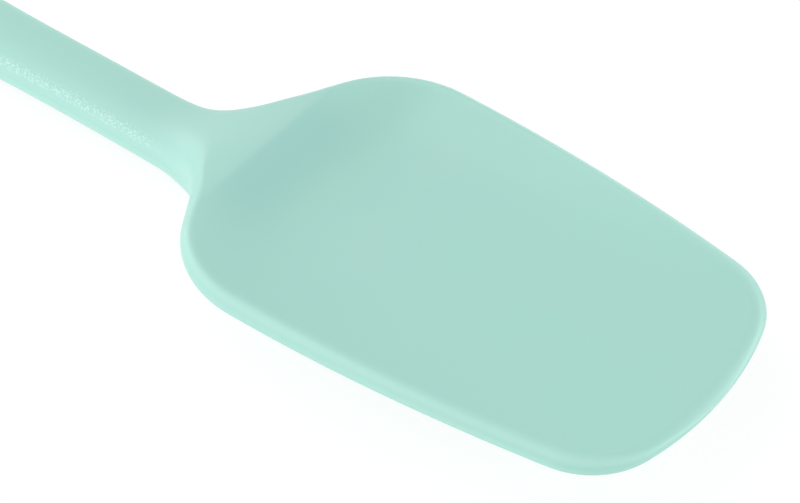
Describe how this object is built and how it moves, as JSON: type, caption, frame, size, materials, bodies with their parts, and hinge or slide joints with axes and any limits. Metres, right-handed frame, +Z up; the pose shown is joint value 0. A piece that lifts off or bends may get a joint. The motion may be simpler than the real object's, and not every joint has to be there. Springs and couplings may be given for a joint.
{
  "type": "silicone spoon spatula",
  "caption": "Kitchen spatula with a broad shallow scoop and a slim grip with a hanging hole, in one seamless silicone skin over a steel spine.",
  "frame": {"origin": "on the table under the middle of the whole length, with the spatula lying on its belly and grip", "axes": "+X from the handle to the tip of the blade, +Z up through the open scoop, even about Y = 0"},
  "size_m": [0.28, 0.0598, 0.0152],
  "materials": {
    "silicone": "satin mint green silicone, finely blasted on the handle",
    "spine_steel": "bare stamped stainless sheet",
    "nylon": "natural off-white moulded nylon",
    "rivet": "bare metal"
  },
  "bodies": {
    "root": {"silicone_skin": "silicone", "steel_spine": "spine_steel", "nylon_core_top": "nylon", "nylon_core_bottom": "nylon", "core_rivet_1": "rivet", "core_rivet_2": "rivet", "core_rivet_3": "rivet"}
  },
  "joints": []
}
